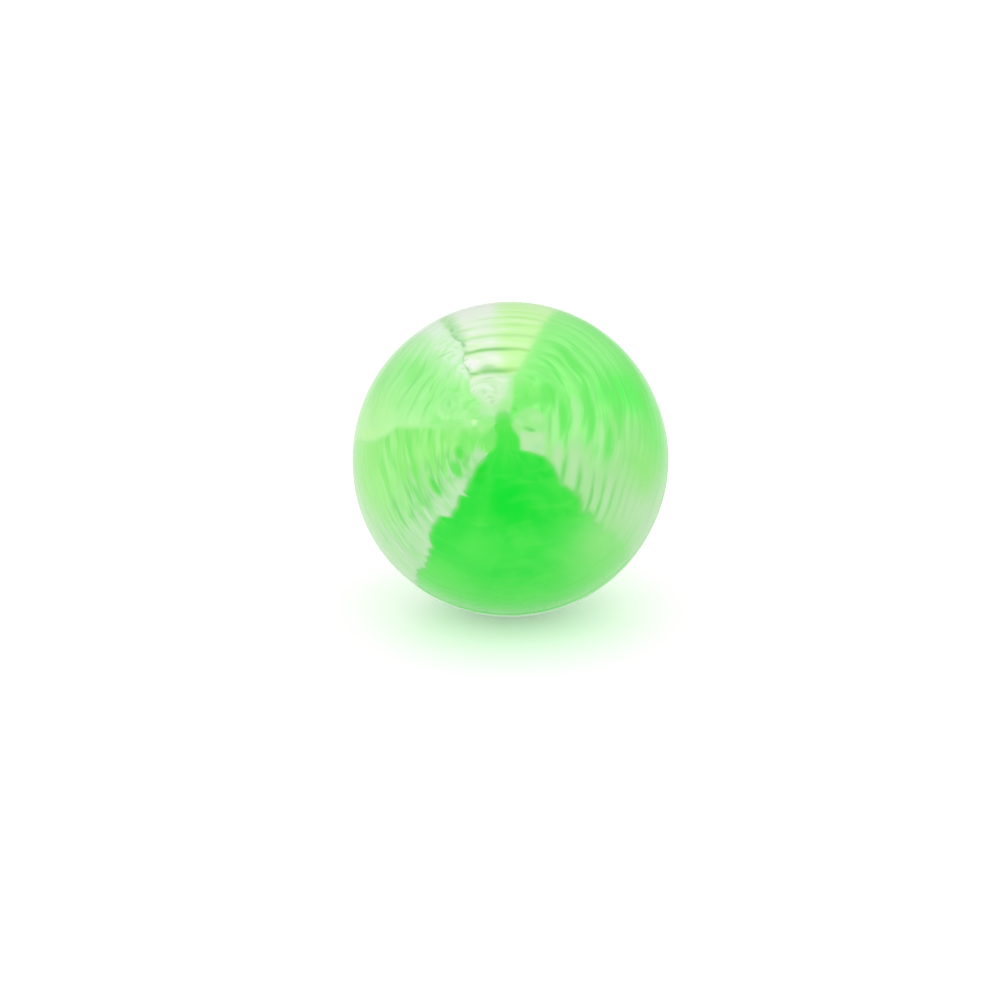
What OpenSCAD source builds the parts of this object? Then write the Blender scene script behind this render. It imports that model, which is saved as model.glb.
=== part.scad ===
// A solid rubber bouncy ball, marbled in greens and white.
// Strands of coloured rubber lie side by side round one swirl axis, like the slices
// of an orange. Each strand is a stack of thin rolled sheets, square to that axis,
// and most sheets carry a thin seam of a second colour on one side, so the seams
// ring the ball. The strands' edges wander from sheet to sheet and mesh like combs.

/* [Ball] */
// Diameter of the finished ball
ball_d = 32; // [27:0.5:45]
// How far the swirl axis leans up from level, in degrees
swirl_lean_angle = 30; // [0:1:60]
// How far the swirl axis turns to the left of the front, in degrees
swirl_turn_angle = 3; // [-45:1:45]

/* [Rubber sheets] */
// Thickness of one rolled sheet, with its seam
sheet_t = 1.15; // [0.9:0.05:1.6]
// Thickness of the coloured seam on a sheet's back side
seam_t = 0.28; // [0.15:0.01:0.4]
// Radius of each strand's own rubber near the swirl axis, where its seams stop
core_r = 3; // [2:0.1:4]

/* [Mould line] */
// Width of the trimmed flash line at its foot
flash_w = 0.7; // [0.4:0.05:1]
// Width of the trimmed flash line along its top
flash_top_w = 0.3; // [0.1:0.05:0.35]
// Height of the trimmed flash line above the ball
flash_h = 0.06; // [0.03:0.01:0.15]

/* [Comb edges] */
// How far the strands' edges wander, as a share of what is drawn here
wander_share = 1; // [0:0.05:1]

/* [Hidden] */
$fn = 96;

ball_r = ball_d / 2;
// How far a cutting shape runs past the ball
overrun = 1;
// Whole sheets in the stack; the last one fills what is left of the ball
sheet_n = floor(ball_d / sheet_t);
// How deep the flash line's foot is sunk into the ball
flash_root = flash_h + flash_w / 4;

// The strands in their order round the swirl axis, seen from its front end
strand_names = [
    "deep_green", "milky", "streaky", "vivid_green", "lime_white", "white",
    "vein", "mint", "rib", "lime_green", "comb"
];
function strand_number(name) = search([name], strand_names)[0];

// Where each strand starts, in degrees: 0 is to the right, 90 is up
start_angles = [238, 318, 342, 375, 430, 455, 478, 488, 538, 541, 580];
// How far that edge wanders to each side from sheet to sheet, in degrees
wander_angles = [5, 2.5, 6, 7, 1, 3, 2.5, 1.5, 0.6, 0.6, 6];
// How far the front pole's own sheet is turned there, in degrees
pole_angles = [14, -12, 10, 20, 8, 5, -3, 0, 0, 0, 5];
// Steps that spread the fingers of the comb edges without a visible repeat
finger_angle = 137;
strand_angle = 53;
full_turn = 360;

// How far the start of strand k wanders in layer j: an even layer is a sheet, and the
// layer after it is that sheet's seam
function wander(k, j) = wander_share * wander_angles[k] * sin(j * finger_angle + k * strand_angle);

// The start of strand k in layer j
function edge(k, j) = k < len(start_angles)
    ? start_angles[k] + wander(k, j) + (j == 0 ? pole_angles[k] : 0)
    : edge(0, j) + full_turn;

// The underside and the top of sheet i, counted down from the front pole
function sheet_floor(i) = i < sheet_n - 1 ? ball_r - (i + 1) * sheet_t : -ball_r - overrun;
function sheet_top(i) = i > 0 ? ball_r - i * sheet_t : ball_r + overrun;

// The layer numbers of sheet i and of its seam
function sheet_layer(i) = 2 * i;
function seam_layer(i) = 2 * i + 1;

function on_circle(r, angle) = [r * cos(angle), r * sin(angle)];

// Turns the swirl axis from straight up to its place in the finished ball
module in_swirl_frame() {
    rotate([0, 0, -swirl_turn_angle])
        rotate([90 - swirl_lean_angle, 0, 0])
            children();
}

// The moulded ball, with the flash line round it where the mould's halves met
module moulded_ball() {
    sphere(d = ball_d);
    rotate_extrude()
        polygon([
            [ball_r - flash_root, -flash_w / 2],
            [ball_r, -flash_w / 2],
            [ball_r + flash_h, -flash_top_w / 2],
            [ball_r + flash_h, flash_top_w / 2],
            [ball_r, flash_w / 2],
            [ball_r - flash_root, flash_w / 2]
        ]);
}

// A slice of strand k from the swirl axis out to radius r, in layer j
module slice(k, j, r, low, high) {
    translate([0, 0, low])
        linear_extrude(height = high - low)
            polygon([[0, 0], on_circle(r, edge(k, j)), on_circle(r, edge(k + 1, j))]);
}

// The part of such a slice that lies outside the core
module outer_slice(k, j, low, high) {
    translate([0, 0, low])
        linear_extrude(height = high - low)
            polygon([
                on_circle(core_r, edge(k, j)),
                on_circle(ball_d, edge(k, j)),
                on_circle(ball_d, edge(k + 1, j)),
                on_circle(core_r, edge(k + 1, j))
            ]);
}

// One strand, as a stack of slices; with seams, only its core runs through them
module strand(name, has_seams) {
    k = strand_number(name);
    in_swirl_frame()
        intersection() {
            moulded_ball();
            union() {
                for (i = [0 : sheet_n - 1]) {
                    seam_top = i < sheet_n - 1 ? sheet_floor(i) + seam_t : sheet_floor(i);
                    slice(k, sheet_layer(i), ball_d, seam_top, sheet_top(i));
                }
                for (i = [0 : sheet_n - 2])
                    slice(k, seam_layer(i), has_seams ? core_r : ball_d,
                        sheet_floor(i), sheet_floor(i) + seam_t);
            }
        }
}

// A strand's seams: thin slices round its core, one on the back of each sheet
module seams(name) {
    k = strand_number(name);
    in_swirl_frame()
        intersection() {
            moulded_ball();
            union()
                for (i = [0 : sheet_n - 2])
                    outer_slice(k, seam_layer(i), sheet_floor(i), sheet_floor(i) + seam_t);
        }
}

module deep_green_strand() { color("#3de84a") strand("deep_green", false); }
module milky_strand() { color("#bfe4b2") strand("milky", true); }
module milky_seams() { color("#6fd96a") seams("milky"); }
module streaky_strand() { color("#a5ee94") strand("streaky", true); }
module streaky_seams() { color("#d3e8c8") seams("streaky"); }
module vivid_green_strand() { color("#6ff76c") strand("vivid_green", true); }
module vivid_green_seams() { color("#9dfc8c") seams("vivid_green"); }
module lime_white_strand() { color("#ccffac") strand("lime_white", true); }
module lime_white_seams() { color("#86d36f") seams("lime_white"); }
module white_strand() { color("#e6f8dd") strand("white", true); }
module white_seams() { color("#7fc480") seams("white"); }
module white_vein() { color("#f1faec") strand("vein", false); }
module mint_strand() { color("#a2fa95") strand("mint", true); }
module mint_seams() { color("#bdfbb0") seams("mint"); }
module pale_rib() { color("#c4fbae") strand("rib", false); }
module lime_green_strand() { color("#93f07a") strand("lime_green", true); }
module lime_green_seams() { color("#b2fb9c") seams("lime_green"); }
module comb_vein() { color("#c3e9bd") strand("comb", false); }

deep_green_strand();
milky_strand();
milky_seams();
streaky_strand();
streaky_seams();
vivid_green_strand();
vivid_green_seams();
lime_white_strand();
lime_white_seams();
white_strand();
white_seams();
white_vein();
mint_strand();
mint_seams();
pale_rib();
lime_green_strand();
lime_green_seams();
comb_vein();
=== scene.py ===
"""A marbled rubber bouncy ball on a pale studio floor."""

import math

import bmesh
import bpy
from mathutils import Euler, Matrix, Vector, noise


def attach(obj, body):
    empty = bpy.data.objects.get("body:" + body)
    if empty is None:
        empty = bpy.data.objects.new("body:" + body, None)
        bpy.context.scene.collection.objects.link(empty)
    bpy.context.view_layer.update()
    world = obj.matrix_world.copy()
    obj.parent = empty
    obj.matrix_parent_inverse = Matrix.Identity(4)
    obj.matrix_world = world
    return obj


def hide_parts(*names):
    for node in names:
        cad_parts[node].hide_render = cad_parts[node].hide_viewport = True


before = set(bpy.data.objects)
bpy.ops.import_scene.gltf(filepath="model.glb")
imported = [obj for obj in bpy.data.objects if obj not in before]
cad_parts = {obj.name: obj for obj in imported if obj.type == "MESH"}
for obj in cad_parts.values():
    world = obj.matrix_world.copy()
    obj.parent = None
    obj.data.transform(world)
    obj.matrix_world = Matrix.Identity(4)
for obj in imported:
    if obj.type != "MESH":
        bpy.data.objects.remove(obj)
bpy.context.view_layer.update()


# Deep green strand: the widest of the ball's strands, plain saturated rubber without seams.
# Its rolled sheets are laid in the mould beside the others and cured to them. It fills a
# wedge from the swirl axis to the skin, with a narrow neck that runs over the front pole.

ball_r = 0.016
sheet_t = 0.00115
swirl_lean = math.radians(30)
swirl_turn = math.radians(3)
# The swirl axis leans up from the front, and a little to the left
swirl_place = Euler((math.pi / 2 - swirl_lean, 0, -swirl_turn)).to_matrix().to_4x4()

# Steps between the rows of the skin, from pole to pole, and between its columns
row_step = 0.00012
column_step = math.radians(0.9)
merge_distance = 1e-8
crease_angle = math.radians(40)
# How deep the sheets' seams show as rings in the skin
ring_depth = 0.00001
# Fine teeth of a strand's edge for each sheet whose end makes a coarse one
fine_teeth = 2.3
# Points whose heights agree to so many decimals of a metre lie in one row
row_decimals = 9

# The trimmed flash line that the mould's halves leave round the ball
flash_w = 0.0007
flash_top_w = 0.0003
flash_h = 0.00006


def along(line, place):
    """Reads a line of (place, value) points."""
    for (near, near_value), (far, far_value) in zip(line, line[1:]):
        if place <= far:
            return near_value + (far_value - near_value) * (place - near) / (far - near)
    return line[-1][1]


def strand_edge(line, reach, seed):
    """An edge between two strands: a line of (tilt, angle) points in degrees, which the sheets' ends comb."""

    def angle_at(tilt):
        sheets = ball_r * math.cos(tilt) / sheet_t
        coarse = noise.noise(Vector((sheets, seed, 0)))
        fine = noise.noise(Vector((sheets * fine_teeth, seed, 5)))
        return math.radians(along(line, math.degrees(tilt)) + reach * (coarse + fine))

    return angle_at


def skin_radius(tilt):
    """The skin's distance from the centre, with the rings that the sheets leave and the flash line."""
    height = ball_r * math.cos(tilt)
    ring = math.cos(2 * math.pi * (ball_r - height) / sheet_t)
    flash_share = (flash_w / 2 - abs(height)) / (flash_w / 2 - flash_top_w / 2)
    return ball_r - ring_depth * (0.5 - 0.5 * ring) + flash_h * min(max(flash_share, 0), 1)


def strand_piece(name, first_edge, last_edge):
    """Spins a half disc of rubber round the swirl axis, and swings its columns out to the strand's edges.
    Each point keeps how many degrees of skin it lies inside them."""
    bm = bmesh.new()
    rows = round(math.pi * ball_r / row_step)
    bmesh.ops.create_grid(bm, x_segments=1, y_segments=rows, size=0.5)
    for vert in bm.verts:
        tilt = math.pi * (0.5 - vert.co.y)
        radius = skin_radius(tilt)
        out = radius * math.sin(tilt) if vert.co.x > 0 else 0
        vert.co = (out, 0, radius * math.cos(tilt))
    span = last_edge(math.pi / 2) - first_edge(math.pi / 2)
    bmesh.ops.spin(bm, geom=bm.verts[:] + bm.edges[:] + bm.faces[:], cent=(0, 0, 0), axis=(0, 0, 1),
                   angle=span, steps=math.ceil(span / column_step), use_duplicate=False)
    bmesh.ops.remove_doubles(bm, verts=bm.verts, dist=merge_distance)
    past_first = bm.verts.layers.float.new("past_first_edge")
    before_last = bm.verts.layers.float.new("before_last_edge")
    row_edges = {}
    for vert in bm.verts:
        out = math.hypot(vert.co.x, vert.co.y)
        if out > merge_distance:
            row = round(vert.co.z, row_decimals)
            if row not in row_edges:
                tilt = math.atan2(out, vert.co.z)
                row_edges[row] = first_edge(tilt), last_edge(tilt)
            first, last = row_edges[row]
            turned_share = max(math.atan2(vert.co.y, vert.co.x), 0) / span
            angle = first + (last - first) * turned_share
            vert[past_first] = math.degrees((angle - first) * out / ball_r)
            vert[before_last] = math.degrees((last - angle) * out / ball_r)
            vert.co.x = out * math.cos(angle)
            vert.co.y = out * math.sin(angle)
    bmesh.ops.recalc_face_normals(bm, faces=bm.faces)
    bmesh.ops.transform(bm, matrix=swirl_place, verts=bm.verts)
    mesh = bpy.data.meshes.new(name)
    bm.to_mesh(mesh)
    bm.free()
    mesh.shade_smooth()
    mesh.set_sharp_from_angle(angle=crease_angle)
    piece = bpy.data.objects.new(name, mesh)
    bpy.context.scene.collection.objects.link(piece)
    return piece


def linear(code):
    """Turns an sRGB hex colour to linear."""
    parts = [int(code[i:i + 2], 16) / 255 for i in (1, 3, 5)]
    return [c / 12.92 if c <= 0.04045 else ((c + 0.055) / 1.055) ** 2.4 for c in parts] + [1]


def add(tree, kind, inputs=None, out=0, **settings):
    """Adds a node with its settings and links, and gives the output that is asked for."""
    made = tree.nodes.new("ShaderNode" + kind)
    for name, value in settings.items():
        setattr(made, name, value)
    for socket, value in (inputs or {}).items():
        if isinstance(value, bpy.types.NodeSocket):
            tree.links.new(value, made.inputs[socket])
        else:
            made.inputs[socket].default_value = value
    return made.outputs[out]


class MarbledRubber:
    """Compounds of rubber folded into each other. Each is laid over the ones before it, by a point's angle
    round the swirl axis and its tilt from the front pole. Both are in degrees: one degree of tilt is
    0.28 mm of skin, so the end of a rolled sheet, 1.15 mm thick, is a band 4 degrees wide round the
    ball's middle, and wider towards the poles."""

    def __init__(self, name, colour, middle, seed, sway=4, hang=()):
        self.material = bpy.data.materials.new(name)
        self.material.use_nodes = True
        self.tree = self.material.node_tree
        self.colour = linear(colour)
        self.relief = 0
        self.seed = seed
        self.find_places(middle, sway, hang)

    def find_places(self, middle, sway, hang):
        """Reads a point's angle and tilt, and which sheet it is in. The sheets sway by some degrees, and
        hang down as far as a line of (angle, degrees) points says."""
        tree = self.tree
        turned = (swirl_place @ Matrix.Rotation(math.radians(middle), 4, "Z")).to_euler()
        place = add(tree, "TexCoord", out="Object")
        place = add(tree, "Mapping", {"Vector": place, "Rotation": turned}, vector_type="TEXTURE")
        place = add(tree, "VectorMath", {0: place}, operation="NORMALIZE")
        split = add(tree, "SeparateXYZ", {0: place}).node.outputs
        aside = add(tree, "Math", {0: split["Y"], 1: split["X"]}, operation="ARCTAN2")
        aside = add(tree, "Math", {0: aside}, operation="DEGREES")
        self.angle = add(tree, "Math", {0: aside, 1: middle}, operation="ADD")
        tilt = add(tree, "Math", {0: split["Z"]}, operation="ARCCOSINE")
        self.tilt = add(tree, "Math", {0: tilt}, operation="DEGREES")
        # The same patterns lie at both poles, so fields are laid by the tilt from the nearer one
        below = add(tree, "Math", {0: self.tilt, 1: -90}, operation="ADD")
        below = add(tree, "Math", {0: below}, operation="ABSOLUTE")
        self.near_tilt = add(tree, "Math", {0: 90, 1: below}, operation="SUBTRACT")
        turn = add(tree, "Math", {0: self.angle}, operation="RADIANS")
        right = add(tree, "Math", {0: turn}, operation="COSINE")
        self.right = add(tree, "Math", {0: right, 1: self.near_tilt}, operation="MULTIPLY")
        up = add(tree, "Math", {0: turn}, operation="SINE")
        self.up = add(tree, "Math", {0: up, 1: self.near_tilt}, operation="MULTIPLY")
        self.lay_tilt = self.tilt
        swayed = self.grain(length=38, width=18, seed=40, low=0, high=1)
        lay_tilt = add(tree, "Math", {0: swayed, 1: sway, 2: self.tilt}, operation="MULTIPLY_ADD")
        lay_tilt = add(tree, "Math", {0: lay_tilt, 1: -sway / 2}, operation="ADD")
        for (near, near_drop), (far, far_drop) in zip(hang, hang[1:]):
            drop = add(tree, "MapRange", {0: self.angle, 1: near, 2: far, 4: far_drop - near_drop},
                       interpolation_type="SMOOTHSTEP")
            lay_tilt = add(tree, "Math", {0: lay_tilt, 1: drop}, operation="SUBTRACT")
        self.lay_tilt = lay_tilt
        height = add(tree, "Math", {0: self.lay_tilt}, operation="RADIANS")
        height = add(tree, "Math", {0: height}, operation="COSINE")
        self.sheets = add(tree, "Math", {0: height, 1: -ball_r / sheet_t, 2: ball_r / sheet_t},
                          operation="MULTIPLY_ADD")

    def grain(self, length, width, seed, low=0.5, high=0.65, detail=1):
        """Streaks or clouds along the sheets: length degrees round the axis, and width degrees down."""
        tree = self.tree
        round_share = add(tree, "Math", {0: self.angle, 1: length}, operation="DIVIDE")
        down_share = add(tree, "Math", {0: self.lay_tilt, 1: width}, operation="DIVIDE")
        place = add(tree, "CombineXYZ", {0: round_share, 1: down_share, 2: self.seed + seed})
        cloud = add(tree, "TexNoise", {"Vector": place, "Scale": 1, "Detail": detail, "Roughness": 0.6})
        return add(tree, "MapRange", {0: cloud, 1: low, 2: high}, interpolation_type="SMOOTHSTEP")

    def seam_lines(self, place=0.85, sharpness=6):
        """A soft line round the ball in each sheet, at the seam's place in the sheet."""
        tree = self.tree
        turn = add(tree, "Math", {0: self.sheets, 1: 2 * math.pi, 2: -2 * math.pi * place},
                   operation="MULTIPLY_ADD")
        wave = add(tree, "Math", {0: turn}, operation="COSINE")
        wave = add(tree, "Math", {0: wave, 1: 0.5, 2: 0.5}, operation="MULTIPLY_ADD")
        return add(tree, "Math", {0: wave, 1: sharpness}, operation="POWER")

    def field(self, angles=(), tilts=(), right=(), up=(), ragged=0, seed=0):
        """A field with soft edges, by angle and tilt, or by degrees to the right of the pole and above it.
        Each list goes from where it starts to where it is full, and may go on from where it still is full
        to where it ends. The sheets' ends make its sides as ragged as asked."""
        side_angle = self.angle
        if ragged:
            reach = self.grain(length=40, width=2.8, seed=seed, low=0.25, high=0.75)
            reach = add(self.tree, "Math", {0: reach, 1: ragged, 2: self.angle}, operation="MULTIPLY_ADD")
            side_angle = add(self.tree, "Math", {0: reach, 1: -ragged / 2}, operation="ADD")
        share = 1
        sides = (side_angle, angles), (self.near_tilt, tilts), (self.right, right), (self.up, up)
        for place, edges in sides:
            for start, full in zip(edges[::3], edges[1:3]):
                side = add(self.tree, "MapRange", {0: place, 1: start, 2: full},
                           interpolation_type="SMOOTHSTEP")
                share = add(self.tree, "Math", {0: share, 1: side}, operation="MULTIPLY")
        return share

    def edge(self, name, width):
        """Full at one of the strand's own edges, and gone as many degrees inside it."""
        inside = add(self.tree, "Attribute", out="Fac", attribute_name=name)
        share = add(self.tree, "MapRange", {0: inside, 1: width, 2: 0})
        return add(self.tree, "Math", {0: share, 1: share}, operation="MULTIPLY")

    def patch(self, angle, tilt, wide, high, full=0.4, lean=0):
        """A round patch, wide and high in degrees from its middle to its rim, that leans down to one side."""
        tree = self.tree
        aside = add(tree, "Math", {0: self.angle, 1: -angle}, operation="ADD")
        below = add(tree, "Math", {0: self.tilt, 1: -tilt}, operation="ADD")
        return self.round_off(aside, below, wide, high, full, lean)

    def spot(self, right, up, wide, high, full=0.4, lean=0):
        """The same beside a pole, as many degrees to the right of it and above it."""
        tree = self.tree
        aside = add(tree, "Math", {0: self.right, 1: -right}, operation="ADD")
        above = add(tree, "Math", {0: self.up, 1: -up}, operation="ADD")
        return self.round_off(aside, above, wide, high, full, lean)

    def round_off(self, aside, below, wide, high, full, lean):
        """Full in the middle of an ellipse, and gone at its rim."""
        tree = self.tree
        below = add(tree, "Math", {0: aside, 1: -lean, 2: below}, operation="MULTIPLY_ADD")
        aside = add(tree, "Math", {0: aside, 1: wide}, operation="DIVIDE")
        below = add(tree, "Math", {0: below, 1: high}, operation="DIVIDE")
        away = add(tree, "CombineXYZ", {0: aside, 1: below})
        away = add(tree, "VectorMath", {0: away}, out="Value", operation="LENGTH")
        return add(tree, "MapRange", {0: away, 1: 1, 2: full}, interpolation_type="SMOOTHSTEP")

    def cover(self, colour, *shares, relief=0):
        """Lays another compound over this one, as much as the shares say together, raised by relief."""
        tree = self.tree
        share = 1
        for part in shares:
            share = add(tree, "Math", {0: share, 1: part}, operation="MULTIPLY")
        self.colour = add(tree, "Mix", {0: share, 6: self.colour, 7: linear(colour)}, out=2, data_type="RGBA")
        if relief:
            self.relief = add(tree, "Math", {0: share, 1: relief, 2: self.relief}, operation="MULTIPLY_ADD")

    def cure(self):
        """Polybutadiene rubber cured in a polished mould: a smooth, glossy skin that mirrors the light tent
        softly. Cloudy haze about a sheet wide dulls it in places, and the folds stand up by about a hundredth
        of a millimetre."""
        polished, hazy = 0.12, 0.24
        fold_height = 0.00002
        shader = self.tree.nodes["Principled BSDF"]
        self.tree.links.new(self.colour, shader.inputs["Base Color"])
        haze = self.grain(length=9, width=4, seed=60, low=0.3, high=0.7, detail=2)
        haze = add(self.tree, "MapRange", {0: haze, 3: polished, 4: hazy})
        self.tree.links.new(haze, shader.inputs["Roughness"])
        shader.inputs["IOR"].default_value = 1.52
        shader.inputs["Specular IOR Level"].default_value = 0.3
        bump = add(self.tree, "Bump", {"Height": self.relief, "Distance": fold_height, "Strength": 0.5})
        self.tree.links.new(bump, shader.inputs["Normal"])
        return self.material


def fix_strand(piece, material, nodes):
    """A strand never moves on its own, because curing bonds it to the ball."""
    piece.data.materials.append(material)
    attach(piece, "root")
    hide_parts(*nodes)


def green_pole(rubber):
    """The end of the deep green strand's neck, which runs over each pole and thins out."""
    rubber.cover("#92e688", rubber.spot(0.2, 1.4, 3.6, 3.4, full=0.5), 0.8)
    rubber.cover("#74e96a", rubber.spot(0.5, 0.4, 3.6, 3.6, full=0.5), 0.95)
    rubber.cover("#5ae952", rubber.spot(0.7, -1.4, 4, 3.8, full=0.3), 0.95)


def bleed_right(rubber, edge):
    """The deep green and the milky compound run into each other, and further out they fade."""
    rubber.cover("#86e97c", rubber.edge(edge, 1.6), rubber.field(tilts=(3, 5, 13, 16)), 0.8)
    rubber.cover("#7ae070", rubber.edge(edge, 1.8), rubber.field(tilts=(13, 16, 32, 42)), 0.9)
    rubber.cover("#7ae070", rubber.edge(edge, 3.2), rubber.field(tilts=(30, 40)),
                 rubber.field(tilts=(76, 50)), 0.95)
    rubber.cover("#94ec84", rubber.edge(edge, 14), rubber.field(tilts=(44, 62)), 0.9)


def bleed_comb(rubber, edge):
    """The comb vein's ends are softer over the neck than further down."""
    rubber.cover("#7aec6e", rubber.edge(edge, 2), rubber.field(tilts=(3, 5, 10, 13)))
    rubber.cover("#80de79", rubber.edge(edge, 1.8), rubber.field(tilts=(12, 15)), 0.95)


deep_start = strand_edge([(0, 205), (3, 212), (4, 232), (6, 247), (9, 253), (11, 250.5), (13, 247.5),
                          (18, 242), (28.3, 241), (29, 246), (29.7, 241), (39, 241), (41, 235), (51, 235),
                          (54, 238), (68, 238.5), (72, 236), (180, 236)], 1.3, 1)
milky_start = strand_edge([(0, 330), (3.7, 330), (5.2, 323), (7, 320), (8.6, 316), (10, 310),
                           (11.7, 304.5), (12.6, 307), (14, 313), (16.5, 319), (19, 322.5), (21, 321),
                           (24, 320), (26.5, 316.5), (30.4, 315), (33, 318), (39, 319), (43.5, 315),
                           (47.5, 318), (50.5, 316), (53.5, 318), (56.5, 316), (60, 318.4), (73, 320),
                           (180, 318)], 1.8, 2)

rubber = MarbledRubber("cured deep green rubber", "#30e43e", 278, 1, hang=[(240, 3), (280, 0), (320, 4)])
# Clouds, and patches where the green is deeper or fresher
rubber.cover("#4dea4b", rubber.grain(17, 15, 1, 0.4, 0.7, 2), 0.75)
rubber.cover("#1ce037", rubber.grain(12, 9, 2, 0.5, 0.74, 2), rubber.field(tilts=(12, 18, 60, 75)), 0.6)
rubber.cover("#10dc26", rubber.patch(249, 20, 11, 5.5, full=0.2), 0.8)
rubber.cover("#04e430", rubber.patch(276, 27, 25, 18, full=0.2, lean=0.1), 0.95)
rubber.cover("#54ea51", rubber.patch(258, 48, 16, 14, full=0.1), 0.6)
# It thins out in the neck and at its sides
rubber.cover("#4ee94a", rubber.field(tilts=(16, 5)), 0.8)
rubber.cover("#6cec60", rubber.field(angles=(262, 242), tilts=(14, 8)), 0.6)
rubber.cover("#64ea5c", rubber.field(angles=(268, 244), tilts=(52, 68)), 0.7)
rubber.cover("#96ea84", rubber.field(angles=(284, 316), tilts=(36, 64)), 0.9)
# Paler towards the rim: painted rim light, for the white tent and floor that the rim reflects
rubber.cover("#6cf25e", rubber.field(tilts=(54, 74)), 0.4)
rubber.cover("#7cf66c", rubber.field(tilts=(70, 88)), 0.3)
# Faint streaks along its sheets, and fine bands round the ball's middle
rubber.cover("#66ee60", rubber.grain(30, 3.4, 3, 0.5, 0.8), 0.2)
rubber.cover("#4ade46", rubber.seam_lines(0.9, 3), rubber.grain(26, 4, 4, 0.42, 0.7),
             rubber.field(tilts=(62, 76)), 0.3, relief=-0.3)
bleed_right(rubber, "before_last_edge")
bleed_comb(rubber, "past_first_edge")
green_pole(rubber)
fix_strand(strand_piece("deep_green_rubber", deep_start, milky_start), rubber.cure(),
           ["deep_green_strand"])


# Milky strand: greyish white rubber at the lower right, with a green seam rolled into each
# sheet. It is cured between the deep green strand and the streaky one, whose compounds
# flow into it. At the pole a pale patch with a green eye is painted on it: a painted
# reflection of a soft box, with the camera showing dark in it.


def band_middle(rubber, pale, dark, seed):
    """The sheets show as fine bands round the ball's middle, pale, with dark seams."""
    rubber.cover(pale, rubber.seam_lines(0.4, 2), rubber.grain(34, 4, seed, 0.36, 0.66),
                 rubber.field(tilts=(62, 76)), 0.45, relief=0.3)
    rubber.cover(dark, rubber.seam_lines(0.9, 3), rubber.grain(26, 4, seed + 1, 0.42, 0.7),
                 rubber.field(tilts=(62, 76)), 0.45, relief=-0.3)


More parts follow.
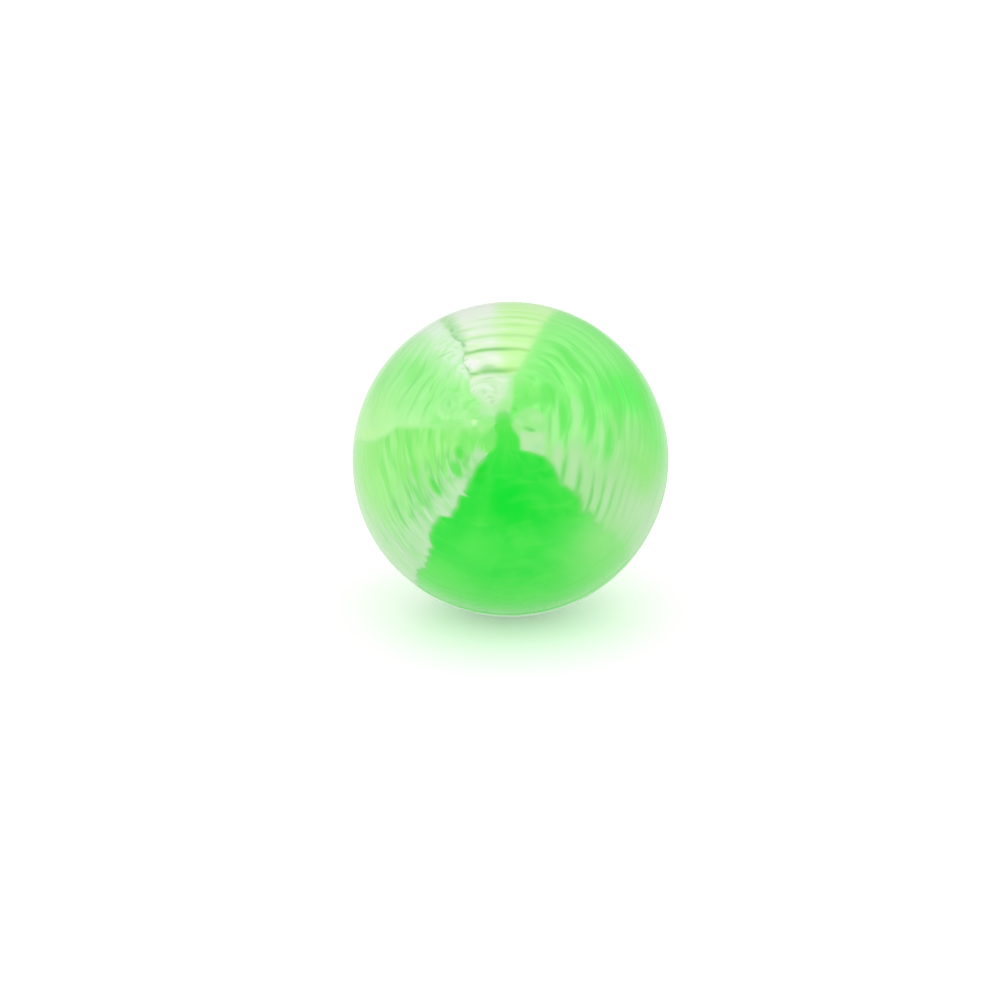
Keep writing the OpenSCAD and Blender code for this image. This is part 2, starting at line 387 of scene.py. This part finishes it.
def marble_right_side(rubber):
    """The milky, the streaky and the vivid green strand flow into each other, in bands along the sheets."""
    # Fresh green clouds
    rubber.cover("#97ff88", rubber.grain(26, 8, 1, 0.34, 0.62), 0.9)
    rubber.cover("#58ff5a", rubber.patch(383, 55, 17, 26, full=0.15), 0.9)
    rubber.cover("#9bff8e", rubber.field(angles=(388, 404), tilts=(34, 44)), 0.7)
    rubber.cover("#7ef26e", rubber.field(angles=(386, 394), tilts=(19, 15)), 0.8)
    # Milky compound from the lower right, thinning out upwards
    rubber.cover("#9fec8b", rubber.field(angles=(374, 362), tilts=(30, 46)), 0.8)
    rubber.cover("#a4ea92", rubber.field(angles=(372, 330), ragged=16, seed=2), 0.85)
    rubber.cover("#b3e5a6", rubber.field(angles=(360, 330), tilts=(19, 30), ragged=14, seed=3), 0.92)
    rubber.cover("#8eea7c", rubber.patch(350, 56, 5, 14, full=0.1), 0.5)
    # Long bands along the sheets
    rubber.cover("#6aee62", rubber.grain(30, 3.2, 4, 0.46, 0.68),
                 rubber.field(angles=(326, 352), tilts=(17, 20)), rubber.field(tilts=(60, 40)), 0.75)
    rubber.cover("#6cf063", rubber.grain(34, 2.8, 5, 0.46, 0.7), rubber.field(angles=(350, 372)), 0.5,
                 relief=-0.3)
    rubber.cover("#a8f89a", rubber.grain(30, 2.8, 6, 0.5, 0.74),
                 rubber.field(angles=(318, 340, 380, 396)), 0.6, relief=0.3)
    rubber.cover("#94fb88", rubber.grain(30, 2.8, 6, 0.46, 0.74), rubber.field(angles=(384, 396)), 0.7,
                 relief=0.3)
    rubber.cover("#74ea69", rubber.seam_lines(0.85, 3), rubber.field(angles=(362, 386), tilts=(16, 22)), 0.4)
    # Folds of fresh green among them
    for angle, tilt, wide, high, lean in ((366, 21.6, 28, 2.4, 0.02), (366, 32.4, 22, 2.6, 0.04),
                                          (355, 40, 14, 2, 0), (395, 19, 20, 4, 0.1)):
        rubber.cover("#6aed61", rubber.patch(angle, tilt, wide, high, full=0.3, lean=lean), 0.85)
    # Folds of pale green
    for angle, tilt, wide, high, lean in ((366, 26.4, 26, 2.4, 0.03), (358, 36.4, 14, 1.9, 0)):
        rubber.cover("#b0f5a2", rubber.patch(angle, tilt, wide, high, full=0.3, lean=lean), 0.8)
    # The ends of milky folds, and the green that the deep strand draws in between them
    rubber.cover("#a8ec97", rubber.field(angles=(352, 336), tilts=(20, 26, 50, 60)), 0.5)
    for angle, tilt, wide, high, lean in ((331, 22.6, 16, 3.2, -0.2), (330, 31, 18, 4, -0.32),
                                          (325, 41.4, 15, 3.4, -0.32), (329, 47.8, 14, 2.6, -0.3)):
        rubber.cover("#b9e8ad", rubber.patch(angle, tilt, wide, high, full=0.1, lean=lean), 0.85)
    rubber.cover("#6fdc65", rubber.seam_lines(0.25, 3),
                 rubber.field(angles=(342, 324), tilts=(22, 26, 48, 56)),
                 rubber.grain(14, 6, 13, 0.1, 0.4), 0.85, relief=-0.3)
    rubber.cover("#9ae190", rubber.seam_lines(0.25, 3), rubber.field(angles=(362, 336), tilts=(44, 54)),
                 rubber.grain(16, 7, 14, 0.25, 0.55), 0.7, relief=-0.3)
    # The rim is painted paler at the bottom, as the white floor's light and reflection would make it, and
    # stays fresh green at the top
    rubber.cover("#c0ecb4", rubber.field(angles=(356, 332), tilts=(50, 70)), 0.85)
    rubber.cover("#66f452", rubber.field(angles=(346, 364), tilts=(50, 68)), 0.75)
    rubber.cover("#8cf06c", rubber.patch(348, 62, 15, 17, full=0.05), 0.65)
    band_middle(rubber, "#a0f692", "#70e266", 15)
    # A painted reflection of a soft box beside the pole: a pale patch with lines round it, and a green eye
    # where the camera shows dark in it
    rubber.cover("#76ef69", rubber.spot(8, 7.6, 7, 3.4, full=0.2, lean=0.2), 0.7)
    rubber.cover("#a6f898", rubber.spot(18.4, -1, 2.2, 9.5, full=0.3), 0.85)
    rubber.cover("#8ee480", rubber.spot(16.6, -0.5, 1.3, 8, full=0.1), 0.8)
    rubber.cover("#9cef8c", rubber.spot(9.9, -0.4, 6.8, 6.4, full=0.66), 0.95)
    rubber.cover("#aef3a0", rubber.spot(12, 1.6, 4.4, 3, full=0.1, lean=0.1), 0.7)
    rubber.cover("#aef09e", rubber.spot(6, -0.4, 2.4, 1.8, full=0.1, lean=-0.4), 0.7)
    rubber.cover("#bbebad", rubber.field(right=(4.6, 7.6, 13.4, 16.6), up=(-2.2, -5)),
                 rubber.field(tilts=(23, 19)), 0.9)
    rubber.cover("#a8e7a7", rubber.spot(12.6, -8.6, 3, 2.6, full=0.1), 0.7)
    rubber.cover("#7ee074", rubber.spot(9.4, -2.6, 3.2, 1.3, full=0.1, lean=-0.2), 0.85)
    rubber.cover("#70dc67", rubber.spot(10.2, -2.9, 2.2, 0.9, full=0.1), 0.7)
    green_pole(rubber)


streaky_start = strand_edge([(0, 342), (180, 342)], 2, 3)
right_hang = [(300, 10), (348, 0), (412, 5), (440, 2)]
rubber = MarbledRubber("cured milky green rubber", "#80f473", 350, 2, hang=right_hang)
marble_right_side(rubber)
bleed_right(rubber, "past_first_edge")
fix_strand(strand_piece("milky_rubber", milky_start, streaky_start), rubber.cure(),
           ["milky_strand", "milky_seams"])


# Streaky strand: the milky and the green compound in bands, with milky seams. It is rolled
# of both and cured between the milky and the vivid green strand.

vivid_start = strand_edge([(0, 390), (16, 390), (30, 375), (180, 375)], 2, 4)
rubber = MarbledRubber("cured streaky green rubber", "#80f473", 350, 2, hang=right_hang)
marble_right_side(rubber)
fix_strand(strand_piece("streaky_rubber", streaky_start, vivid_start), rubber.cure(),
           ["streaky_strand", "streaky_seams"])


# Vivid green strand: the fresh green rubber at the upper right, with lighter seams. It is
# cured to the streaky strand on one side and to the lime white strand on the other.

lime_white_start = strand_edge([(0, 410), (3, 412), (5.6, 421), (8.3, 426), (11.3, 432), (17, 436.5),
                                (21.5, 433), (33, 431.5), (180, 431)], 0.8, 5)


def bleed_top(rubber, edge):
    """The vivid green and the lime white compound run into each other."""
    rubber.cover("#a4f88e", rubber.edge(edge, 3), rubber.field(tilts=(12, 22)))
    rubber.cover("#9ef28c", rubber.edge(edge, 1.4), rubber.field(tilts=(3, 5, 14, 20)))


rubber = MarbledRubber("cured vivid green rubber", "#80f473", 350, 2, hang=right_hang)
marble_right_side(rubber)
rubber.cover("#6ae85e", rubber.patch(409, 6, 20, 1.5, full=0.2), 0.7)
rubber.cover("#98f688", rubber.field(angles=(414, 430), tilts=(10, 16)), 0.6)
bleed_top(rubber, "before_last_edge")
fix_strand(strand_piece("vivid_green_rubber", vivid_start, lime_white_start), rubber.cure(),
           ["vivid_green_strand", "vivid_green_seams"])


# Lime white strand: the brightest rubber, at the top, with leaf green seams between its
# sheets, which arch over it. It is cured between the vivid green and the white strand.


def marble_top(rubber):
    """The lime white and the white strand share their arched sheets."""
    # The lime white turns white to the left, and a painted highlight runs along each sheet's raised middle
    rubber.cover("#e2f7d9", rubber.field(angles=(450, 462)))
    rubber.cover("#d8ffbe", rubber.grain(20, 5, 1, 0.42, 0.66), 0.6)
    rubber.cover("#bcff8e", rubber.seam_lines(0.95, 2), rubber.field(angles=(456, 448), tilts=(32, 44)), 0.35)
    # Painted highlights along each sheet's middle, white to the left and lime to the right, over a slight
    # real relief
    rubber.cover("#f2fdec", rubber.seam_lines(0.35, 2), rubber.grain(16, 4, 2, 0.3, 0.7),
                 rubber.field(angles=(440, 458), tilts=(60, 40)), 0.85, relief=0.2)
    rubber.cover("#d6ffba", rubber.seam_lines(0.35, 2), rubber.grain(16, 4, 2, 0.3, 0.7),
                 rubber.field(angles=(458, 446), tilts=(60, 40)), 0.6, relief=0.2)
    rubber.cover("#e6f9de", rubber.field(angles=(456.4, 458), tilts=(42, 50)), 0.7)
    rubber.cover("#eef8e8", rubber.field(angles=(454, 460, 470, 476), tilts=(46, 56)), 0.85)
    rubber.cover("#b2eda6", rubber.field(angles=(471, 477), tilts=(44, 54), ragged=4, seed=8), 0.8)
    # The seams of the first three sheets are the strongest
    rubber.cover("#a4e27e", rubber.seam_lines(0.86, 9), rubber.field(tilts=(14, 18, 31, 36)), 0.75,
                 relief=-0.1)
    rubber.cover("#86d17b", rubber.seam_lines(0.86, 10),
                 rubber.field(angles=(438, 456, 468, 481), tilts=(14, 18, 31, 36)), 0.8, relief=-0.1)
    rubber.cover("#b2e69c", rubber.seam_lines(0.86, 4), rubber.field(tilts=(31, 36, 46, 60)),
                 rubber.grain(24, 8, 6, 0.25, 0.6), 0.54)
    # Painted shade under the first sheet's painted highlight, over a slight real dip
    rubber.cover("#9fdc90", rubber.patch(466, 21.4, 11, 2, full=0.2, lean=0.05), 0.6, relief=-0.2)
    rubber.cover("#bce8ac", rubber.seam_lines(0.86, 4), rubber.field(tilts=(60, 72)),
                 rubber.grain(26, 6, 7, 0.3, 0.62), 0.6, relief=-0.2)
    # The pale block beside the pole, with fine streaks: partly the white compound, partly a painted
    # reflection of the soft box above
    rubber.cover("#cdf2c1", rubber.field(tilts=(18.6, 16.8)), 0.97)
    rubber.cover("#dff8d8", rubber.grain(20, 2.6, 9, 0.46, 0.66), rubber.field(tilts=(6, 12, 16, 19)), 0.8)
    rubber.cover("#b0dfa6", rubber.grain(18, 1.2, 4, 0.5, 0.7),
                 rubber.field(angles=(456, 468), tilts=(18.4, 17)), 0.6, relief=-0.2)
    rubber.cover("#a6f496", rubber.field(angles=(452, 436), tilts=(19, 17)), 0.8)
    rubber.cover("#a8f099", rubber.field(tilts=(8, 4)), 0.8)
    rubber.cover("#a4f092", rubber.spot(0.6, 5.8, 3.4, 3.8, full=0.2), 0.7)
    green_pole(rubber)


white_start = strand_edge([(0, 457), (180, 457)], 0.5, 6)
top_hang = [(430, 1.3), (452, 0), (484, 1.8)]
rubber = MarbledRubber("cured lime white rubber", "#c8ffa6", 455, 5, sway=0.8, hang=top_hang)
marble_top(rubber)
bleed_top(rubber, "past_first_edge")
fix_strand(strand_piece("lime_white_rubber", lime_white_start, white_start), rubber.cure(),
           ["lime_white_strand", "lime_white_seams"])


# White strand: the whitest rubber, left of the lime white one, with darker green seams
# that hook down in a chain at its left edge, where the white vein is cured to it.

vein_start = strand_edge([(0, 494), (6, 497.5), (12, 497.5), (15.5, 496.5), (18, 491), (20.5, 486.5),
                          (24, 484.5), (28, 484), (32, 478.5), (38, 477.5), (43, 480), (50, 479),
                          (180, 479)], 0.7, 7)


def bleed_vein(rubber, edge):
    """The white strand and the white vein fade into each other at their edge."""
    rubber.cover("#baf2ad", rubber.edge(edge, 2.6), rubber.field(tilts=(3, 5, 12, 17)))
    rubber.cover("#c8f2be", rubber.edge(edge, 1), rubber.field(tilts=(12, 17, 20, 24)))
    rubber.cover("#c9efc2", rubber.edge(edge, 0.8), rubber.field(tilts=(22, 28)))
    rubber.cover("#bcefae", rubber.edge(edge, 2), rubber.field(tilts=(44, 54)))


rubber = MarbledRubber("cured white rubber", "#c8ffa6", 455, 5, sway=0.8, hang=top_hang)
marble_top(rubber)
rubber.cover("#f6f8f2", rubber.patch(477, 25.5, 6.5, 3.4, full=0.3), 0.9)
rubber.cover("#a2e698",
             rubber.field(angles=(471, 477.5, 479, 482), tilts=(31, 37, 46, 60), ragged=3, seed=8), 0.65)
# The seams' ends hook down
for angle, tilt, wide, high, lean in ((481, 21, 7, 1.2, 0.25), (483.6, 24.5, 2.4, 4, 0.25),
                                      (483.6, 29, 2.4, 3, -0.3), (478.5, 31.5, 6, 1.3, 0.2),
                                      (477.5, 36.5, 3, 3.6, 0.3), (479.4, 42, 3, 3.2, 0.3),
                                      (478.6, 48, 3, 3.4, -0.2)):
    rubber.cover("#86cd84", rubber.patch(angle, tilt, wide, high, full=0.1, lean=lean), 0.7)
rubber.cover("#7cc67b", rubber.grain(4, 1.7, 12, 0.5, 0.7), rubber.edge("before_last_edge", 6),
             rubber.field(tilts=(21, 25, 62, 74)), 0.66)
bleed_vein(rubber, "before_last_edge")
fix_strand(strand_piece("white_rubber", white_start, vein_start), rubber.cure(),
           ["white_strand", "white_seams"])


# White vein: a thin strand of white rubber without seams, which parts the white strand
# from the mint one and fades into it. It is cured to both.


def marble_left_side(rubber):
    """The white vein, the mint strand and the pale rib, with sheets that swirl like the grain of wood."""
    # Clouds and fine streaks of fresh and pale green
    rubber.cover("#8cf67d", rubber.patch(503, 39, 15, 11, full=0.1), 0.85)
    rubber.cover("#8ef480", rubber.grain(16, 7, 1, 0.46, 0.72), 0.8)
    rubber.cover("#b2fba2", rubber.grain(20, 8, 2, 0.46, 0.72), 0.6)
    rubber.cover("#bdfbb0", rubber.grain(30, 3, 3, 0.5, 0.76), 0.4, relief=0.25)
    rubber.cover("#86ee78", rubber.grain(28, 2.6, 4, 0.48, 0.74), rubber.field(tilts=(56, 38)), 0.6,
                 relief=-0.25)
    rubber.cover("#82e276", rubber.seam_lines(0.85, 6), rubber.field(tilts=(26, 32, 38, 46)), 0.4)
    rubber.cover("#8eec80", rubber.seam_lines(0.85, 3), rubber.grain(22, 6, 10, 0.34, 0.6),
                 rubber.field(tilts=(36, 46, 64, 74)), 0.45, relief=-0.2)
    rubber.cover("#b6fa9a", rubber.field(angles=(512, 532), tilts=(38, 52)), 0.7)
    rubber.cover("#bcfca6", rubber.field(angles=(524, 538), tilts=(22, 34)), 0.7)
    band_middle(rubber, "#c9fdba", "#86e47a", 8)
    # White from the vein
    rubber.cover("#cdf8c4", rubber.field(angles=(508, 486), tilts=(14, 26), ragged=8, seed=5), 0.75)
    rubber.cover("#e0fadd", rubber.field(angles=(493, 485), tilts=(40, 52), ragged=5, seed=6), 0.95)
    rubber.cover("#def9d9", rubber.field(angles=(494, 485), tilts=(18, 24, 42, 48), ragged=6, seed=6),
                 rubber.grain(6, 2.6, 7, 0.36, 0.56), 0.9)
    rubber.cover("#86ea7a", rubber.patch(489, 36.5, 9, 0.9, full=0.2, lean=0.2), 0.5)
    # An eye in the grain beside the pole, like a small knot in wood
    rubber.cover("#b2faa2", rubber.spot(-19.2, 6.4, 6.4, 6.6, full=0.6),
                 rubber.grain(12, 9, 11, 0.24, 0.5), 0.5)
    rubber.cover("#92ee84", rubber.spot(-19, 6.6, 4.4, 5, full=0.6), rubber.grain(12, 9, 13, 0.24, 0.5), 0.5)
    rubber.cover("#acf99e", rubber.spot(-18.8, 6.4, 2.8, 3.6, full=0.4), 0.5)
    rubber.cover("#84e876", rubber.spot(-19.2, 6.8, 1.4, 2.8, full=0.2), 0.55)
    # Paler towards the pole, with a bright spot, and the rim is painted paler, as the white tent's reflection
    # at the rim would make it
    rubber.cover("#bdf3b0", rubber.patch(492, 5, 30, 5, full=0.3, lean=-0.1), 0.8)
    rubber.cover("#9cef8c", rubber.field(angles=(505, 520), tilts=(14, 8)), 0.7)
    rubber.cover("#baf1af", rubber.spot(-5.2, 4.4, 4.8, 4.3, full=0.3), 0.8)
    rubber.cover("#b6f7a5", rubber.patch(528, 14, 18, 1.2, full=0.1, lean=0.15), 0.6)
    # Painted rim light
    rubber.cover("#bdf5ac", rubber.field(tilts=(66, 88)), 0.6)
    green_pole(rubber)


mint_start = strand_edge([(0, 500), (14, 501), (20, 495), (34, 490.5), (180, 490.5)], 0.8, 8)


def bleed_left(rubber, edge):
    """The pale rib and the lime green compound run into each other near the pole, with a bright spot."""
    rubber.cover("#a6f592", rubber.edge(edge, 1.8))
    rubber.cover("#9bf289", rubber.edge(edge, 7), rubber.field(tilts=(28, 18)))
    rubber.cover("#b4f6a2", rubber.patch(540, 11, 20, 5, full=0.1), 0.8)
    rubber.cover("#cdffba", rubber.patch(541.7, 9.6, 12, 1.6, full=0.1), 0.85)
    green_pole(rubber)


left_hang = [(486, 3), (503, 0), (545, 2)]
rubber = MarbledRubber("cured vein white rubber", "#a2f892", 515, 7, sway=6, hang=left_hang)
marble_left_side(rubber)
bleed_vein(rubber, "past_first_edge")
fix_strand(strand_piece("white_vein_rubber", vein_start, mint_start), rubber.cure(),
           ["white_vein"])


# Mint strand: soft light green rubber with pale seams, which fills the upper left. It is
# cured between the white vein and the pale rib.

rib_start = strand_edge([(0, 537), (38, 536), (56, 537), (71, 534), (180, 534)], 0.4, 9)
rubber = MarbledRubber("cured mint rubber", "#a2f892", 515, 7, sway=6, hang=left_hang)
marble_left_side(rubber)
fix_strand(strand_piece("mint_rubber", mint_start, rib_start), rubber.cure(),
           ["mint_strand", "mint_seams"])


# Pale rib: a narrow strand of pale lime rubber at the left, without seams. It is cured
# between the mint strand, which it fades into, and the lime green one.

lime_start = strand_edge([(0, 543.5), (23, 543.5), (28, 542), (35, 540.3), (41, 539), (44, 541),
                          (47, 542.2), (54, 542.8), (61, 541.2), (71, 538), (83, 540.5), (94, 538),
                          (105, 541), (117, 538.5), (132, 541.5), (150, 540.5), (180, 543.5)], 0.3, 10)
rubber = MarbledRubber("cured pale lime rubber", "#a2f892", 515, 7, sway=6, hang=left_hang)
marble_left_side(rubber)
rubber.cover("#bffda6", rubber.field(angles=(533, 540), tilts=(36, 46)), 0.5)
rubber.cover("#bcfa92", rubber.field(tilts=(50, 60)), 0.45)
bleed_left(rubber, "before_last_edge")
fix_strand(strand_piece("pale_rib_rubber", rib_start, lime_start), rubber.cure(),
           ["pale_rib"])


# Lime green strand: yellowish green rubber at the lower left, with pale lime seams. It is
# cured between the pale rib and the comb vein, and a dark green eddy lies in it.


def marble_lower_left(rubber):
    """The lime green strand and the comb vein, which mesh like combs."""
    # Streaks of lime and fresh green
    rubber.cover("#a6f88e", rubber.grain(24, 6, 1, 0.42, 0.68), 0.7)
    rubber.cover("#7aec68", rubber.grain(34, 3.4, 2, 0.42, 0.64), rubber.field(tilts=(60, 44)), 0.9,
                 relief=-0.3)
    rubber.cover("#b2fa9c", rubber.grain(30, 2.8, 3, 0.48, 0.7), 0.6, relief=0.3)
    rubber.cover("#a8f68a", rubber.field(tilts=(46, 64)), 0.6)
    # The comb's milky teeth, which reach far into the lime green between its sheets
    rubber.cover("#aaf09c", rubber.field(angles=(560, 592), tilts=(34, 46), ragged=30, seed=4), 0.85)
    rubber.cover("#a6ea9c", rubber.field(angles=(566, 588), tilts=(14, 20), ragged=30, seed=7), 0.7)
    rubber.cover("#b9e6b1", rubber.field(angles=(582, 594), tilts=(11, 14), ragged=26, seed=5), 0.92,
                 relief=0.2)
    rubber.cover("#93e688", rubber.grain(9, 3, 10, 0.46, 0.62),
                 rubber.field(angles=(568, 584), tilts=(13, 17)), 0.7, relief=-0.2)
    rubber.cover("#80de76", rubber.grain(20, 2.2, 6, 0.46, 0.66),
                 rubber.field(angles=(558, 576, 588, 598), tilts=(14, 18)),
                 rubber.field(tilts=(72, 56)), 0.8, relief=-0.3)
    rubber.cover("#cdf0c6", rubber.grain(20, 2, 8, 0.5, 0.68),
                 rubber.field(angles=(562, 582), tilts=(34, 44)), 0.7, relief=0.3)
    rubber.cover("#d4f2ce", rubber.field(angles=(584, 592), tilts=(24, 28, 42, 50)), 0.3)
    # The dark eddy and the folds below it
    rubber.cover("#7aee6a", rubber.patch(570, 14, 26, 6, full=0.3), 0.7)
    rubber.cover("#5ee654", rubber.patch(577, 18.6, 12, 2.6, full=0.2, lean=0.08), 0.95)
    rubber.cover("#66e85c", rubber.patch(586.5, 23.2, 12, 2.8, full=0.3, lean=0.08), 0.9)
    rubber.cover("#5ee458", rubber.patch(583, 33.4, 10, 1.7, full=0.3, lean=0.1), 0.9)
    rubber.cover("#74e66c", rubber.patch(579, 41, 9, 1.5, full=0.3, lean=0.15), 0.75)
    # The vein turns pale, and then the rim is painted paler, as the white tent's reflection at the rim would
    # make it
    rubber.cover("#c8ecc1", rubber.field(angles=(582, 588), tilts=(44, 52, 58, 66)), 0.5)
    # Painted rim light, paler towards the ball's edge
    rubber.cover("#c2ecba", rubber.field(angles=(540, 584), tilts=(56, 82)), 0.85)
    rubber.cover("#b4f2a2", rubber.field(tilts=(66, 88)), 0.5)
    band_middle(rubber, "#ccf8be", "#82e072", 11)
    # Fresh green at the pole, with a pale fold beside it
    rubber.cover("#92f082", rubber.field(tilts=(12, 6)), 0.75)
    rubber.cover("#76ea68", rubber.field(angles=(566, 590), tilts=(12, 9)), 0.85)
    rubber.cover("#b8f4a8", rubber.patch(552, 7.4, 22, 2.6, full=0.2), 0.6)
    green_pole(rubber)


comb_start = strand_edge([(0, 560), (3, 570), (6, 582), (30, 588), (60, 582), (180, 580)], 1, 11)
lower_left_hang = [(541, 0), (560, 1), (604, 7.5)]
rubber = MarbledRubber("cured lime green rubber", "#92f079", 570, 9, hang=lower_left_hang)
marble_lower_left(rubber)
bleed_left(rubber, "past_first_edge")
fix_strand(strand_piece("lime_green_rubber", lime_start, comb_start), rubber.cure(),
           ["lime_green_strand", "lime_green_seams"])


# Comb vein: milky rubber without seams between the lime green strand and the deep green
# one, which closes the ring. The ends of its sheets reach into both, like a comb's teeth.


def deep_start_again(tilt):
    """The deep green strand's first edge, one turn on."""
    return deep_start(tilt) + 2 * math.pi


rubber = MarbledRubber("cured comb white rubber", "#92f079", 570, 9, hang=lower_left_hang)
marble_lower_left(rubber)
bleed_comb(rubber, "before_last_edge")
green_pole(rubber)
fix_strand(strand_piece("comb_rubber", comb_start, deep_start_again), rubber.cure(),
           ["comb_vein"])


# Studio floor: matt white paper under the ball, which keeps the ball's soft shadow. The
# camera and the ball's gloss see it as white, but the gloss finds its front end dark.

floor_size = 3
# The paper that the gloss sees starts to dim 20 mm before the ball's middle, and is dark from 50 mm on
dim_start, dim_end = -0.02, -0.05
paper_in_gloss = 0.95
opening_in_gloss = 0.1
# What brings the lit paper to full white for the camera
white_glow = 0.3
bm = bmesh.new()
bmesh.ops.create_grid(bm, x_segments=1, y_segments=1, size=floor_size)
bmesh.ops.translate(bm, verts=bm.verts, vec=(0, 0, -ball_r))
mesh = bpy.data.meshes.new("floor")
bm.to_mesh(mesh)
bm.free()
floor = bpy.data.objects.new("floor", mesh)
bpy.context.scene.collection.objects.link(floor)
material = bpy.data.materials.new("matt white paper")
material.use_nodes = True
tree = material.node_tree
paper = tree.nodes["Principled BSDF"]
paper.inputs["Base Color"].default_value = linear("#f6f6f6")
paper.inputs["Roughness"].default_value = 0.9
rays = add(tree, "LightPath").node.outputs
glow = add(tree, "Emission", {"Color": linear("#ffffff"), "Strength": white_glow})
lit = add(tree, "AddShader", {0: paper.outputs[0], 1: glow})
seen = add(tree, "MixShader", {0: rays["Is Camera Ray"], 1: paper.outputs[0], 2: lit})
place = add(tree, "SeparateXYZ", {0: add(tree, "TexCoord", out="Object")}, out="Y")
mirrored = add(tree, "MapRange", {0: place, 1: dim_start, 2: dim_end, 3: paper_in_gloss, 4: opening_in_gloss},
               interpolation_type="SMOOTHSTEP")
mirrored = add(tree, "Emission", {"Color": linear("#ffffff"), "Strength": mirrored})
surface = add(tree, "MixShader", {0: rays["Is Glossy Ray"], 1: seen, 2: mirrored})
tree.links.new(surface, tree.nodes["Material Output"].inputs["Surface"])
floor.data.materials.append(material)


# Light tent: even white light from all round, with an opening for the camera at the front,
# which is what keeps the greens there deep. Two soft boxes stand over and before the ball.

tent_strength = 0.9
tent_in_gloss = 0.65
to_opening = (0, -0.95, 0.3)
# A mirrored direction finds the opening where it agrees with the opening's own by the first of these
# shares or more, and the tent's cloth where it agrees by the second or less
in_opening, in_tent = 0.95, 0.5
world = bpy.data.worlds.new("white light tent")
world.use_nodes = True
tree = world.node_tree
tent = tree.nodes["Background"]
tent.inputs["Color"].default_value = linear("#ffffff")
tent.inputs["Strength"].default_value = tent_strength
agreed = add(tree, "VectorMath", {0: add(tree, "TexCoord"), 1: to_opening}, out="Value",
             operation="DOT_PRODUCT")
mirrored = add(tree, "MapRange", {0: agreed, 1: in_opening, 2: in_tent, 3: opening_in_gloss,
                                  4: tent_in_gloss}, interpolation_type="SMOOTHSTEP")
mirrored = add(tree, "Background", {"Color": linear("#ffffff"), "Strength": mirrored})
rays = add(tree, "LightPath").node.outputs
lit = add(tree, "MixShader", {0: rays["Is Glossy Ray"], 1: tent.outputs[0], 2: mirrored})
seen = add(tree, "Background", {"Color": linear("#ffffff"), "Strength": 1})
surface = add(tree, "MixShader", {0: rays["Is Camera Ray"], 1: lit, 2: seen})
tree.links.new(surface, tree.nodes["World Output"].inputs["Surface"])
bpy.context.scene.world = world


def soft_box(name, place, size, power):
    """A round soft box that faces the ball and doesn't show in its gloss."""
    light = bpy.data.lights.new(name, "AREA")
    light.shape = "DISK"
    light.size = size
    light.energy = power
    lamp = bpy.data.objects.new(name, light)
    lamp.location = place
    lamp.rotation_euler = (-Vector(place)).to_track_quat("-Z", "Y").to_euler()
    lamp.visible_glossy = False
    bpy.context.scene.collection.objects.link(lamp)


soft_box("soft box above", (0.05, -0.1, 0.5), 0.5, 0.15)
soft_box("soft box before", (-0.1, -0.5, -0.01), 0.3, 0.6)


# Camera: a long lens a little above the ball, as the photograph was taken.

camera = bpy.data.cameras.new("camera")
camera.lens = 100
camera.sensor_width = 36
camera.clip_start = 0.01
camera.shift_x = -0.0101
camera.shift_y = -0.0408
camera_distance = 0.2823
camera_azimuth = math.radians(0.2)
camera_elevation = math.radians(16.7)
eye = bpy.data.objects.new("camera", camera)
eye.location = (camera_distance * math.sin(camera_azimuth) * math.cos(camera_elevation),
                -camera_distance * math.cos(camera_azimuth) * math.cos(camera_elevation),
                camera_distance * math.sin(camera_elevation))
eye.rotation_euler = (-eye.location).to_track_quat("-Z", "Y").to_euler()
bpy.context.scene.collection.objects.link(eye)
bpy.context.scene.camera = eye
bpy.context.scene.view_settings.view_transform = "Standard"
